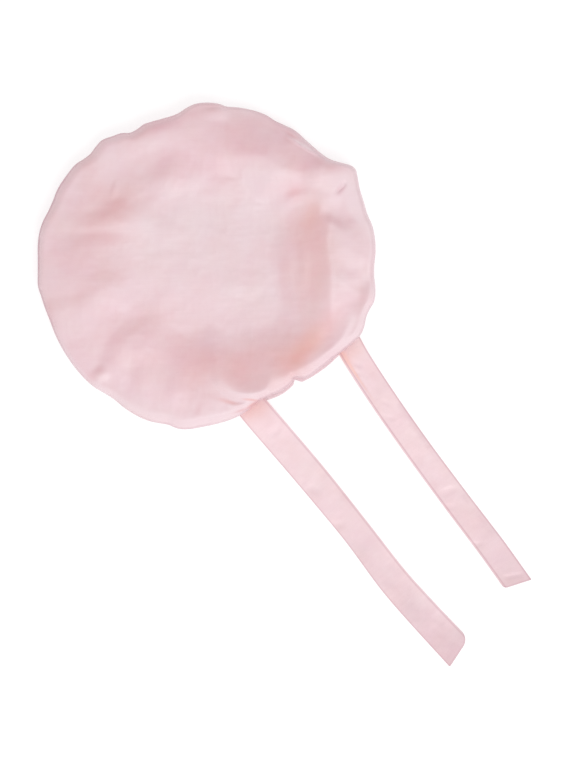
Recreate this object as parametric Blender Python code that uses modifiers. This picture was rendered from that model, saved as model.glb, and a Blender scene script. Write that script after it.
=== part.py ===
# Sleep bonnet, lying opening down with its two tie ribbons spread on the surface.
# Metres, +Z up. The origin is the middle of the whole piece's footprint, on the surface.
# Seen from above, +X is to the right and +Y is away from the ties.
import math
from collections import namedtuple

import bmesh
import bpy
from mathutils import Vector

MM = 0.001  # the tables below are in millimetres and degrees

# Driving dimensions
CLOTH = 0.0020  # wall of the crown: two layers of satin with air between them
RIBBON = 0.0012  # a tie: satin folded and pressed flat
BAND_WIDTH = 0.0120  # casing that holds the elastic
BAND_HEIGHT = 0.0040
BAND_SIDE = 0.6  # share of the band's height at which its sides start to round over
BAND_SHOULDER = 0.15  # share of its width that each round takes
BAND_THINNING = 0.2  # share of its height that it loses between its gathers
GAP = 0.0003  # clearance between pieces that touch
CROWN_CENTRE = Vector((-0.0770, 0.1185, 0.0))
MOUTH_CENTRE = Vector((-0.0440, 0.0845, 0.0))
RIM_HEIGHT = 0.0090  # height of the crown's widest line above the surface
RIM_TURN = 0.0090  # how far the cloth turns under before it lies flat
SEAM_INSET = 0.0105  # from the band's outer edge in to the crown's sewn edge
EDGE_POWER = 2.2  # above 2, the rim is squarer than a circle's arc
FLOOR_HEIGHT = 27.0  # the top sheet inside the crest where it doesn't sag, in millimetres
SAG_DEPTH = 11.0  # how far it sags over the mouth
SAG_HEADING = -52.0  # towards the front, between the ties
SAG_FROM = -115.0  # distances along that heading between which the sag grows
SAG_TO = 60.0
FOLD_FOOT = 0.5  # how softly a fold's side runs out

# Gathers of the underside, from nothing at the rim to full height at the band
PLEAT_COUNT = 24
PLEAT_HEIGHT = 0.0070
PLEAT_FULL_SPAN = 0.0600  # a shorter turned-under span has lower pleats
PLEAT_SWAY = 0.25  # share by which the pleats differ in height round the mouth
BAND_RISE = 0.0080  # distance over which the cloth climbs from the surface onto the band
BAND_CLEAR = 0.0012  # the cloth is up at the band's height this far outside it

# Numbers of facets
MERIDIANS = 96
TOP_RINGS = 14
TOP_CROWDING = 1.6  # above 1, the rings crowd towards the rim
TURN_RINGS = 3
FLAT_RINGS = 3
BAND_RINGS = 4
BAND_STATIONS = 144
TIE_STATIONS = 34
TIE_CROWDING = 1.4
TIE_COLUMNS = 4

# Colours, linear RGB
CROWN_PINK = (0.799, 0.604, 0.631, 1.0)
BAND_PINK = (0.753, 0.539, 0.571, 1.0)
TIE_PINK = (0.855, 0.672, 0.701, 1.0)
SATIN_ROUGHNESS = 0.42

# Outline of the crown from above, by angle round its centre
RimRow = namedtuple("RimRow", "angle reach")
RIM = [
    RimRow(0, 166.5),
    RimRow(10, 170.0),
    RimRow(18, 168.0),
    RimRow(27, 171.0),
    RimRow(33, 175.5),
    RimRow(40, 164.0),
    RimRow(50, 159.5),
    RimRow(62, 161.5),
    RimRow(76, 162.5),
    RimRow(90, 163.7),
    RimRow(102, 156.0),
    RimRow(115, 154.0),
    RimRow(124, 160.0),
    RimRow(130, 164.5),
    RimRow(136, 162.0),
    RimRow(150, 168.5),
    RimRow(172, 170.0),
    RimRow(190, 168.6),
    RimRow(208, 167.0),
    RimRow(227, 166.5),
    RimRow(233, 163.0),
    RimRow(245, 165.0),
    RimRow(262, 165.0),
    RimRow(272, 157.5),
    RimRow(282, 152.0),
    RimRow(291, 144.3),
    RimRow(301, 144.3),
    RimRow(308, 141.6),
    RimRow(313, 149.6),
    RimRow(322, 155.0),
    RimRow(330, 162.0),
    RimRow(337, 168.0),
    RimRow(350, 169.6),
]

# Section of the top sheet by angle round the crown's centre: where its crest lies and how high,
# the height it has fallen to at the rim, the width of the slope inside the crest, how round the
# crest is, from 0 for a crease, and the width over which the sheet rounds down to the rim
SectionRow = namedtuple("SectionRow", "angle crest_at crest shoulder slope roundness edge")
SECTIONS = [
    SectionRow(0, 125, 33.0, 29, 66, 0.12, 7),
    SectionRow(18, 130, 33.0, 28, 66, 0.15, 7),
    SectionRow(34, 137, 33.0, 27.5, 64, 0.3, 6),
    SectionRow(46, 130, 36.0, 24, 48, 0.4, 4),
    SectionRow(60, 122, 37.0, 21, 36, 0.4, 4),
    SectionRow(75, 118, 34.0, 20, 38, 0.5, 4),
    SectionRow(90, 119, 30.0, 24, 50, 0.6, 4),
    SectionRow(105, 122, 29.0, 27, 60, 0.8, 8),
    SectionRow(140, 128, 28.0, 26, 60, 0.8, 12),
    SectionRow(170, 124, 28.0, 26, 60, 0.8, 8),
    SectionRow(195, 120, 28.0, 26, 60, 0.8, 6),
    SectionRow(225, 124, 27.0, 26, 60, 0.8, 7),
    SectionRow(248, 130, 27.0, 25, 60, 0.7, 11),
    SectionRow(265, 126, 28.0, 25, 66, 0.5, 12),
    SectionRow(276, 116, 29.5, 26, 60, 0.3, 11),
    SectionRow(286, 131, 30.0, 27, 64, 0.12, 9),
    SectionRow(300, 132, 29.0, 27.5, 64, 0.12, 9),
    SectionRow(317, 137, 27.5, 27.5, 54, 0.12, 8),
    SectionRow(336, 132, 28.0, 28, 54, 0.12, 9),
    SectionRow(348, 128, 32.0, 28, 60, 0.12, 7),
]

# Outer edge of the casing band, by angle round the mouth's centre
MouthRow = namedtuple("MouthRow", "angle reach")
MOUTH = [
    MouthRow(5, 99.0),
    MouthRow(20, 93.0),
    MouthRow(45, 90.0),
    MouthRow(90, 90.0),
    MouthRow(135, 88.0),
    MouthRow(180, 88.0),
    MouthRow(210, 91.0),
    MouthRow(240, 98.0),
    MouthRow(262, 106.0),
    MouthRow(275, 106.5),
    MouthRow(286, 103.2),
    MouthRow(295, 102.3),
    MouthRow(303, 100.4),
    MouthRow(311, 103.2),
    MouthRow(324, 108.5),
    MouthRow(336, 115.5),
    MouthRow(343, 116.0),
    MouthRow(353, 108.0),
]

# Pinches in the band's outer edge, by angle round the mouth's centre
PinchRow = namedtuple("PinchRow", "angle depth half_width")
PINCHES = [PinchRow(304.6, 4.0, 3.0)]

# Folds of the top sheet, from one end to the other as measured from the crown's centre. Each bows
# to its left, reaches so far to its left and right, and stands so high, or is that deep if below
# zero. Its crest's roundness is 0 for a crease, and it rises and dies out over shares of its length
FoldRow = namedtuple("FoldRow", "place from_x from_y to_x to_y bow left right height crest rise fall")
FOLDS = [
    FoldRow("upper right corner", 92, 95, 158, 93, 2, 14, 24, 3.5, 0.3, 0.4, 0.5),
    FoldRow("step at the back", 76, 136, 122, 102, -2, 8, 26, 2.2, 0.2, 0.3, 0.4),
    FoldRow("groove below the corner", 112, 60, 172, 30, 4, 19, 15, -4.5, 0.5, 0.3, 0.4),
    FoldRow("right groove", 124, 14, 176, -28, 0, 18, 16, -3.0, 0.4, 0.4, 0.4),
    FoldRow("dent inside the right rim", 146, -4, 151, -54, 0, 12, 24, -3.5, 0.5, 0.4, 0.4),
    FoldRow("edge of the right ridge", 121, 62, 123, -66, 0, 10, 24, 1.8, 0.1, 0.4, 0.5),
    FoldRow("roll between the ties", 82, -106, 150, -46, -7, 12, 10, 2.0, 0.1, 0.1, 0.3),
    FoldRow("left trough", -146, 32, -18, 120, 16, 24, 30, -2.6, 0.5, 0.5, 0.35),
    FoldRow("slope beyond the trough", -126, 32, -62, 70, 4, 15, 22, 3.0, 0.3, 0.5, 0.5),
    FoldRow("left ridge, upper", -150, 39, -66, 40, 0, 18, 12, 1.2, 0.4, 0.3, 0.5),
    FoldRow("left ridge, second", -154, 14, -62, 18, 0, 20, 60, 2.8, 0.8, 0.4, 0.6),
    FoldRow("left ridge, third", -140, -20, -64, -16, 0, 20, 30, 2.2, 0.5, 0.5, 0.5),
    FoldRow("left ridge, lower", -170, -54, -90, -28, -4, 18, 30, 2.6, 0.5, 0.3, 0.6),
    FoldRow("long ridge to the middle", -128, -36, -10, 22, 0, 28, 28, 1.2, 0.7, 0.4, 0.5),
    FoldRow("ridge beside it", -76, -74, 20, 22, 0, 26, 44, 1.4, 0.7, 0.4, 0.5),
    FoldRow("lower left ridge", -106, -122, -42, -46, 8, 18, 24, 2.6, 0.6, 0.3, 0.6),
    FoldRow("lower left ridge, inner", -62, -136, -48, -56, 4, 16, 24, 1.8, 0.6, 0.3, 0.6),
    FoldRow("crosswise at the lower left", -96, -84, -30, -76, 0, 26, 20, 2.7, 0.6, 0.5, 0.5),
    FoldRow("bottom ridge", -34, -146, -26, -76, 0, 18, 16, 1.5, 0.6, 0.3, 0.7),
    FoldRow("top left ridge", -64, 88, -8, 108, 6, 24, 24, 2.5, 0.6, 0.5, 0.5),
    FoldRow("roll at the left tie", -4, -105, 62, -131, -6, 12, 14, 3.0, 0.1, 0.3, 0.15),
]

# Middle line of each tie from its sewn end to its free end, with its width there
TieRow = namedtuple("TieRow", "x y width")
LEFT_TIE = [
    TieRow(-37.5, -15.5, 30.0),
    TieRow(-22.5, -33.5, 31.0),
    TieRow(25.5, -89.5, 31.0),
    TieRow(71.0, -145.5, 29.5),
    TieRow(107.5, -193.5, 31.0),
    TieRow(135.5, -225.5, 32.0),
    TieRow(173.5, -265.8, 33.5),
]
RIGHT_TIE = [
    TieRow(60.5, 47.5, 26.5),
    TieRow(74.5, 22.5, 26.5),
    TieRow(103.5, -21.5, 26.5),
    TieRow(134.5, -65.5, 26.5),
    TieRow(170.0, -113.5, 27.0),
    TieRow(206.0, -161.0, 27.5),
    TieRow(233.2, -198.7, 27.5),
]
TIE_END_SLANT = {"left": 6.0, "right": -4.4}  # how far one corner of a tie's end leads
TIE_SLANT_FROM = 0.85  # share of its length from which a tie turns to that slant
TIE_LOOK = 0.02  # share of its length over which a tie's heading is taken
TIE_SETTLE = 0.0460  # distance beyond the band over which a tie comes down to the surface
TIE_REST = 0.0020  # the tie stays level this far past the band's edge
TIE_CLEAR = 0.0120  # the crown's cloth is lifted this far to each side of a tie
TIE_HEADROOM = 0.0009  # and this far above its top face


def smooth_step(low, high, value):
    share = min(max((value - low) / (high - low), 0.0), 1.0)
    return share * share * (3.0 - 2.0 * share)


def hermite(before, start, end, after, gaps, share):
    # A smooth curve from start to end, whose slopes come from the neighbours on each side
    slope_start = ((start - before) / gaps[0] + (end - start) / gaps[1]) / 2.0
    slope_end = ((end - start) / gaps[1] + (after - end) / gaps[2]) / 2.0
    square = share * share
    cube = square * share
    value = (2.0 * cube - 3.0 * square + 1.0) * start + (3.0 * square - 2.0 * cube) * end
    value += (cube - 2.0 * square + share) * gaps[1] * slope_start
    value += (cube - square) * gaps[1] * slope_end
    return value


def read_around(rows, column, degrees):
    # One column of a table by angle, as a closed smooth curve
    count = len(rows)
    degrees = degrees % 360.0
    here = max((i for i in range(count) if rows[i].angle <= degrees), default=-1)
    picks = [rows[(here + step) % count] for step in (-1, 0, 1, 2)]
    gaps = [(picks[i + 1].angle - picks[i].angle) % 360.0 for i in range(3)]
    share = ((degrees - picks[1].angle) % 360.0) / gaps[1]
    values = [getattr(row, column) for row in picks]
    return hermite(*values, gaps, share)


def read_along(rows, column, share):
    # One column of a table from its first row to its last, evenly by row
    place = share * (len(rows) - 1)
    here = min(int(place), len(rows) - 2)
    values = [getattr(row, column) for row in rows]
    before = values[here - 1] if here > 0 else 2.0 * values[0] - values[1]
    after = values[here + 2] if here + 2 < len(rows) else 2.0 * values[-1] - values[-2]
    return hermite(before, values[here], values[here + 1], after, (1.0, 1.0, 1.0), place - here)


def direction(degrees):
    return Vector((math.cos(math.radians(degrees)), math.sin(math.radians(degrees)), 0.0))


def fold_profile(aside, crest):
    # Height of a fold at a share of its side reach: 1 on the crest, 0 at the foot
    fall = math.hypot(aside, crest) - crest
    height = max(0.0, 1.0 - fall / (math.hypot(1.0, crest) - crest))
    return height * height * (1.0 + FOLD_FOOT) / (height + FOLD_FOOT)


def fold_height(x, y):
    # Sum of the folds at a place measured from the crown's centre, in millimetres
    total = 0.0
    for fold in FOLDS:
        run = Vector((fold.to_x - fold.from_x, fold.to_y - fold.from_y, 0.0))
        length = run.length
        run.normalize()
        away = Vector((x - fold.from_x, y - fold.from_y, 0.0))
        along = away.dot(run) / length
        aside = run.cross(away).z - fold.bow * 4.0 * along * (1.0 - along)
        aside = aside / fold.left if aside > 0.0 else -aside / fold.right
        if 0.0 < along < 1.0 and aside < 1.0:
            fade = smooth_step(0.0, fold.rise, along) * smooth_step(0.0, fold.fall, 1.0 - along)
            total += fold.height * fade * fold_profile(aside, fold.crest)
    return total


def edge_round(inside, width):
    # 1 over the top, rounding down to 0 at the rim, by the distance inside the rim
    share = max(0.0, 1.0 - inside / width)
    return (1.0 - min(share, 1.0) ** EDGE_POWER) ** (1.0 / EDGE_POWER)


def section_height(degrees, distance, reach):
    # Height of the top sheet before folds and the rounded edge, in millimetres
    crest_at = read_around(SECTIONS, "crest_at", degrees)
    crest = read_around(SECTIONS, "crest", degrees)
    roundness = read_around(SECTIONS, "roundness", degrees)
    if distance > crest_at:
        share = (distance - crest_at) / (reach - crest_at)
        drop = crest - read_around(SECTIONS, "shoulder", degrees)
        return crest - drop * share ** (1.0 + roundness)
    down = distance * math.cos(math.radians(degrees - SAG_HEADING))
    floor = FLOOR_HEIGHT - SAG_DEPTH * smooth_step(SAG_FROM, SAG_TO, down)
    aside = (crest_at - distance) / read_around(SECTIONS, "slope", degrees)
    return floor + (crest - floor) * fold_profile(aside, roundness)


def top_point(degrees, share):
    # A point of the top sheet, at a share of the way from the centre to the rim
    reach = read_around(RIM, "reach", degrees)
    spot = direction(degrees) * (reach * share)
    level = section_height(degrees, reach * share, reach) + fold_height(spot.x, spot.y)
    edge = edge_round(reach * (1.0 - share), read_around(SECTIONS, "edge", degrees))
    point = CROWN_CENTRE + spot * MM
    point.z = RIM_HEIGHT + (level * MM - RIM_HEIGHT) * edge
    return point


def mouth_reach(degrees):
    # Outer edge of the band from the mouth's centre, with its pinches
    reach = read_around(MOUTH, "reach", degrees)
    for pinch in PINCHES:
        turn = abs((degrees - pinch.angle + 180.0) % 360.0 - 180.0)
        reach -= pinch.depth * max(0.0, 1.0 - turn / pinch.half_width)
    return reach * MM


def past_band(point):
    # How far a point lies outside the band's outer edge, below zero inside it
    away = point - MOUTH_CENTRE
    away.z = 0.0
    return away.length - read_around(MOUTH, "reach", math.degrees(math.atan2(away.y, away.x))) * MM


def tie_cover(point):
    # 1 where a tie runs under the crown's cloth, fading to 0 at its sides
    cover = 0.0
    for rows in (LEFT_TIE, RIGHT_TIE):
        root = Vector((rows[0].x, rows[0].y, 0.0)) * MM
        run = (Vector((rows[1].x, rows[1].y, 0.0)) * MM - root).normalized()
        away = point - root
        away.z = 0.0
        side = abs(away.cross(run).z) - rows[0].width * MM / 2.0
        behind = max(0.0, -away.dot(run))
        cover = max(cover, 1.0 - smooth_step(TIE_CLEAR, 2.0 * TIE_CLEAR, max(side, behind)))
    return cover


def under_height(point, degrees, span):
    # Height of the turned-under sheet: flat on the surface, up onto the band, in pleats
    outside = past_band(point)
    cover = tie_cover(point)
    climb = max(cover, 1.0 - smooth_step(BAND_CLEAR, BAND_RISE, outside))
    level = (BAND_HEIGHT + GAP) * climb + (RIBBON + TIE_HEADROOM) * cover
    height = PLEAT_HEIGHT * min(1.0, span / PLEAT_FULL_SPAN)
    height *= 1.0 - PLEAT_SWAY * (0.5 + 0.5 * math.cos(math.radians(5.0 * degrees)))
    growth = 1.0 - smooth_step(0.0, span, outside + SEAM_INSET)
    wave = 0.5 - 0.5 * math.cos(math.radians(PLEAT_COUNT * degrees))
    return level + height * growth * wave


def under_steps(length):
    # Distances from the sewn edge of the turned-under rings: even on the flat, then set to the
    # foot, the top edge and the middle of the band. A short length takes even steps
    foot = SEAM_INSET + BAND_RISE
    rest = length - foot
    steps = [foot + rest * (1.0 - i / FLAT_RINGS) for i in range(1, FLAT_RINGS + 1)]
    steps += [SEAM_INSET + BAND_RISE / 2.0, SEAM_INSET + BAND_CLEAR, SEAM_INSET / 2.0, 0.0]
    count = len(steps)
    return [min(step, length * (1.0 - i / count)) for i, step in enumerate(steps, 1)]


def crown_rings():
    # Rings of the crown's sheet, from the centre of the top over the rim to the sewn edge
    angles = [360.0 * i / MERIDIANS for i in range(MERIDIANS)]
    shares = [1.0 - (1.0 - i / TOP_RINGS) ** TOP_CROWDING for i in range(1, TOP_RINGS + 1)]
    rings = [[top_point(angle, share) for angle in angles] for share in shares]
    lower = [[] for _ in range(TURN_RINGS + FLAT_RINGS + BAND_RINGS)]
    for angle, rim in zip(angles, rings[-1]):
        sewn = MOUTH_CENTRE + direction(angle) * (mouth_reach(angle) - SEAM_INSET)
        inward = sewn - Vector((rim.x, rim.y, 0.0))
        span = inward.length
        inward.normalize()
        turn = min(RIM_TURN, span / 2.0)
        start = Vector((rim.x, rim.y, 0.0))
        flat_from = start + inward * turn
        floor = under_height(flat_from, angle, span)
        for i in range(TURN_RINGS):
            arc = math.radians(90.0 * (i + 1) / TURN_RINGS)
            point = start + inward * (turn * (1.0 - math.cos(arc)))
            point.z = RIM_HEIGHT + (floor - RIM_HEIGHT) * math.sin(arc)
            lower[i].append(point)
        for i, step in enumerate(under_steps(span - turn)):
            point = sewn - inward * step
            point.z = under_height(point, angle, span)
            lower[TURN_RINGS + i].append(point)
    return rings + lower


def loft(name, rows, wrap_rows=False, wrap_across=True, pole=None):
    # Skin between neighbouring rows of points. It is closed by hand because no primitive or
    # modifier joins sections of changing outline
    mesh = bmesh.new()
    grid = [[mesh.verts.new(point) for point in row] for row in rows]
    across = len(rows[0])
    last_row = len(rows) if wrap_rows else len(rows) - 1
    last_across = across if wrap_across else across - 1
    for i in range(last_row):
        here = grid[i]
        after = grid[(i + 1) % len(rows)]
        for k in range(last_across):
            side = (k + 1) % across
            mesh.faces.new((here[k], after[k], after[side], here[side]))
    if pole is not None:
        tip = mesh.verts.new(pole)
        for k in range(across):
            mesh.faces.new((tip, grid[0][k], grid[0][(k + 1) % across]))
    for face in mesh.faces:
        face.smooth = True
    data = bpy.data.meshes.new(name)
    mesh.to_mesh(data)
    mesh.free()
    return bpy.data.objects.new(name, data)


def thicken(piece, thickness):
    wall = piece.modifiers.new("Wall", "SOLIDIFY")
    wall.thickness = thickness
    wall.offset = -1.0
    wall.use_rim = True


def satin(name, colour):
    material = bpy.data.materials.new(name)
    material.use_nodes = True
    shader = material.node_tree.nodes["Principled BSDF"]
    shader.inputs["Base Color"].default_value = colour
    shader.inputs["Roughness"].default_value = SATIN_ROUGHNESS
    shader.inputs["Metallic"].default_value = 0.0
    material.diffuse_color = colour
    return material


def make_crown():
    piece = loft("crown", crown_rings(), pole=top_point(0.0, 0.0))
    thicken(piece, CLOTH)
    return piece


def make_band():
    # The casing: a flat ring with a soft top, drawn thinner between its gathers
    stations = []
    for i in range(BAND_STATIONS):
        angle = 360.0 * i / BAND_STATIONS
        out = direction(angle)
        reach = mouth_reach(angle)
        gather = 0.5 - 0.5 * math.cos(math.radians(PLEAT_COUNT * 2.0 * angle))
        top = BAND_HEIGHT * (1.0 - BAND_THINNING * gather)
        inner = reach - BAND_WIDTH
        shoulder = BAND_SHOULDER * BAND_WIDTH
        section = [
            (inner, 0.0),
            (reach, 0.0),
            (reach, BAND_SIDE * top),
            (reach - shoulder, top),
            (inner + shoulder, top),
            (inner, BAND_SIDE * top),
        ]
        stations.append([MOUTH_CENTRE + out * far + Vector((0.0, 0.0, up)) for far, up in section])
    return loft("band", stations, wrap_rows=True)


def make_tie(name, rows, end_slant):
    # A flat ribbon that leaves the band's top and comes down to lie on the surface
    stations = []
    for i in range(TIE_STATIONS + 1):
        share = (i / TIE_STATIONS) ** TIE_CROWDING
        ahead = min(share + TIE_LOOK / 2.0, 1.0)
        behind = ahead - TIE_LOOK
        middle = Vector((read_along(rows, "x", share), read_along(rows, "y", share), 0.0))
        run = Vector((read_along(rows, "x", ahead) - read_along(rows, "x", behind),
                      read_along(rows, "y", ahead) - read_along(rows, "y", behind), 0.0))
        run.normalize()
        left = Vector((-run.y, run.x, 0.0))
        half = read_along(rows, "width", share) / 2.0
        lead = end_slant * smooth_step(TIE_SLANT_FROM, 1.0, share)
        row = []
        for k in range(TIE_COLUMNS + 1):
            side = 1.0 - 2.0 * k / TIE_COLUMNS
            point = (middle - left * (half * side) + run * (lead * side)) * MM
            down = smooth_step(TIE_REST, TIE_SETTLE, past_band(point))
            point.z = RIBBON + (BAND_HEIGHT + GAP) * (1.0 - down)
            row.append(point)
        stations.append(row)
    piece = loft(name, stations, wrap_across=False)
    thicken(piece, RIBBON)
    return piece


def main():
    for old in list(bpy.data.objects):
        bpy.data.objects.remove(old, do_unlink=True)
    parts = bpy.data.collections.new("sleep_bonnet")
    bpy.context.scene.collection.children.link(parts)
    pieces = [
        (make_crown(), satin("crown_satin", CROWN_PINK)),
        (make_band(), satin("band_satin", BAND_PINK)),
        (make_tie("tie_left", LEFT_TIE, TIE_END_SLANT["left"]), satin("tie_left_satin", TIE_PINK)),
        (make_tie("tie_right", RIGHT_TIE, TIE_END_SLANT["right"]), satin("tie_right_satin", TIE_PINK)),
    ]
    for piece, material in pieces:
        piece.data.materials.append(material)
        parts.objects.link(piece)


main()
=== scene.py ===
# Sleep bonnet of pale pink silk satin, lying opening down with its ties spread out.
# Metres, +Z up. Tables and the pieces' dictionaries are in millimetres and degrees.
import math

import bmesh
import bpy
import numpy as np
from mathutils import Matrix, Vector


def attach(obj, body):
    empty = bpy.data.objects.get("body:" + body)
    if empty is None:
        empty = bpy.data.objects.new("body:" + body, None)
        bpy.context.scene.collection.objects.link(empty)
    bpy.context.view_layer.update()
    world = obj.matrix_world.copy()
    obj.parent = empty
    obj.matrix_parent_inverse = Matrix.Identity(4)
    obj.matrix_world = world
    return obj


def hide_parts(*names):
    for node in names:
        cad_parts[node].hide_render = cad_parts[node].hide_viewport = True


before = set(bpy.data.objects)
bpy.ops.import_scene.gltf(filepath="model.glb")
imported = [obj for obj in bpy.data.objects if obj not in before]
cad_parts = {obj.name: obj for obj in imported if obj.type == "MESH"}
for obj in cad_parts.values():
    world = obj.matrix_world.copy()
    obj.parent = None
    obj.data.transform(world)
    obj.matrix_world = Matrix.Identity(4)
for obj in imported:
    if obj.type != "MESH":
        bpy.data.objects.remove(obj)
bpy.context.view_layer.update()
mm = 0.001
crownCentre = (-77.0, 118.5)  # all tables of folds and tints are measured from here
lampHeading = -62.0  # the side that the light comes from, seen from above
print("frame loaded")


# Helpers

def columns(names, rows):  # a short table as one array for each named column
    return {name: np.array([row[i] for row in rows], float) for i, name in enumerate(names.split())}


def rowsOf(table):  # the same table row by row
    return [dict(zip(table, row)) for row in zip(*table.values())]


def smoothStep(low, high, value):
    share = np.clip((value - low) / (high - low), 0.0, 1.0)
    return share * share * (3.0 - 2.0 * share)


def hermite(before, start, end, after, gaps, share):
    slopeStart = ((start - before) / gaps[0] + (end - start) / gaps[1]) / 2.0
    slopeEnd = ((end - start) / gaps[1] + (after - end) / gaps[2]) / 2.0
    square, cube = share ** 2, share ** 3
    value = (2.0 * cube - 3.0 * square + 1.0) * start + (3.0 * square - 2.0 * cube) * end
    return value + gaps[1] * ((cube - 2.0 * square + share) * slopeStart + (cube - square) * slopeEnd)


def readAround(table, column, degrees):  # a column by angle, as a closed smooth curve
    degrees = np.mod(degrees, 360.0)
    angle, value = table["angle"], table[column]
    here = np.searchsorted(angle, degrees, side="right") - 1
    picks = [(here + step) % len(angle) for step in (-1, 0, 1, 2)]
    gaps = [np.mod(angle[picks[i + 1]] - angle[picks[i]], 360.0) for i in range(3)]
    share = np.mod(degrees - angle[picks[1]], 360.0) / gaps[1]
    return hermite(*(value[pick] for pick in picks), gaps, share)


def readAlong(table, column, share):  # a column from its first row to its last, evenly by row
    value = table[column]
    value = np.concatenate([[2.0 * value[0] - value[1]], value, [2.0 * value[-1] - value[-2]]])
    place = np.clip(share, 0.0, 1.0) * (len(value) - 3)
    here = np.minimum(place.astype(int), len(value) - 4)
    return hermite(*(value[here + step] for step in range(4)), (1.0, 1.0, 1.0), place - here)


def softNoise(x, y, size, seed):  # smooth random hills of that size, from -1 to 1
    random = np.random.default_rng(seed)
    cells = 64  # the hills repeat after so many
    grid = random.uniform(-1.0, 1.0, (cells, cells))
    turn = random.uniform(0.0, math.pi)
    u = (x * math.cos(turn) - y * math.sin(turn)) / size
    v = (x * math.sin(turn) + y * math.cos(turn)) / size
    i, j = np.floor(u).astype(int), np.floor(v).astype(int)
    s, t = (w * w * w * (w * (w * 6.0 - 15.0) + 10.0) for w in (u - i, v - j))
    here, there, low, high = i % cells, (i + 1) % cells, j % cells, (j + 1) % cells
    near = grid[here, low] * (1.0 - s) + grid[there, low] * s
    far = grid[here, high] * (1.0 - s) + grid[there, high] * s
    return near * (1.0 - t) + far * t


def quadsOf(index):  # the corners of each cell of a grid of point numbers
    return np.stack([index[:-1, :-1], index[:-1, 1:], index[1:, 1:], index[1:, :-1]], -1).reshape(-1, 4)


def borderOf(grid):  # what stands on the border of a grid, once round
    return np.concatenate([grid[0, :-1], grid[:-1, -1], grid[-1, :0:-1], grid[:0:-1, 0]])


def meshObject(name, points, faces, material):
    data = bpy.data.meshes.new(name)
    data.from_pydata([tuple(point) for point in points], [], [tuple(face) for face in faces])
    data.polygons.foreach_set("use_smooth", [True] * len(data.polygons))
    data.materials.append(material)
    thing = bpy.data.objects.new(name, data)
    bpy.context.scene.collection.objects.link(thing)
    return thing


def setUv(thing, flat):  # lays the cloth's flat cut, in metres, in its UV map, so that the weave follows it
    layer = thing.data.uv_layers.new(name="flat")
    corners = np.empty(len(thing.data.loops), int)
    thing.data.loops.foreach_get("vertex_index", corners)
    layer.data.foreach_set("uv", np.asarray(flat, float)[corners].ravel())


def setValue(thing, name, values):  # a number for each vertex, which a material can read
    layer = thing.data.attributes.new(name, "FLOAT", "POINT")
    layer.data.foreach_set("value", np.asarray(values, float))


def linear(code):  # sRGB hex to linear
    values = [int(code[i:i + 2], 16) / 255.0 for i in (1, 3, 5)]
    return [v / 12.92 if v <= 0.04045 else ((v + 0.055) / 1.055) ** 2.4 for v in values] + [1.0]


def addNode(tree, kind, settings=None, **links):
    # links: a value, or an output socket, for each input, by name with _ for a space, or by i0, i1
    node = tree.nodes.new(kind)
    for name, value in (settings or {}).items():
        setattr(node, name, value)
    for name, value in links.items():
        key = int(name[1:]) if name[0] == "i" and name[1:].isdigit() else name.replace("_", " ")
        if isinstance(value, bpy.types.NodeSocket):
            tree.links.new(value, node.inputs[key])
        else:
            node.inputs[key].default_value = value
    return node


def pointValue(tree, name):  # what setValue gave to the points
    return addNode(tree, "ShaderNodeAttribute", {"attribute_name": name}).outputs["Fac"]


def blend(tree, share, first, second):
    return addNode(tree, "ShaderNodeMix", {"data_type": "RGBA"}, i0=share, i6=first, i7=second).outputs[2]


def calculate(tree, operation, *values, clamp=False):
    inputs = {"i%d" % i: value for i, value in enumerate(values)}
    return addNode(tree, "ShaderNodeMath", {"operation": operation, "use_clamp": clamp}, **inputs).outputs[0]


def noise(tree, place, scale, detail, roughness=0.5, settings=None, **links):
    return addNode(tree, "ShaderNodeTexNoise", settings, Vector=place, Scale=scale, Detail=detail,
                   Roughness=roughness, **links).outputs


def newMaterial(name, roughness, ior):
    material = bpy.data.materials.new(name)
    material.use_nodes = True
    shader = material.node_tree.nodes["Principled BSDF"]
    shader.inputs["Roughness"].default_value = roughness
    shader.inputs["IOR"].default_value = ior
    return material, material.node_tree, shader


# Materials: sizes here are in metres, and counts are for a metre

silk = {
    # Pale colours are the lit satin, the Deep ones painted shade, the Warm ones painted warm bounce light
    "crownPale": "#e6ced3",
    "crownDeep": "#dcb4b9",
    "crownWarm": "#e3a8a1",
    "casing": "#e2c8cd",
    "tiePale": "#edd2d6",
    "tieDeep": "#dabcc2",
    "tieWarm": "#eec4bd",
    "edge": "#c0939e",  # painted shade where the satin turns under, seen edge on
    "roughness": 0.46,
    "ior": 1.5,
    "sheen": 0.1,
    "sheenRoughness": 0.4,
    "threadSize": 0.00035,  # real floats lie 0.12 mm apart, drawn coarser to show at all
    "threadRelief": 0.00006,
    "slubWidth": 0.0016,
    "slubLength": 0.045,
    "slubRelief": 0.00012,
    "slubShade": 0.01,
    "crinkles": 52.0,
    "crinkleRelief": 0.0002,
    "clouds": 28.0,  # patches where the colour is a little deeper or paler
    "cloudReach": 0.15,
    "mottle": 30.0,  # patches where the pink drifts a little to lilac or salmon
    "hueDrift": 0.008,
    "saturationDrift": 0.09,
    "richLight": 0.2,  # painted light: how much lighter the cloth is where its pink is painted richer
}


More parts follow.
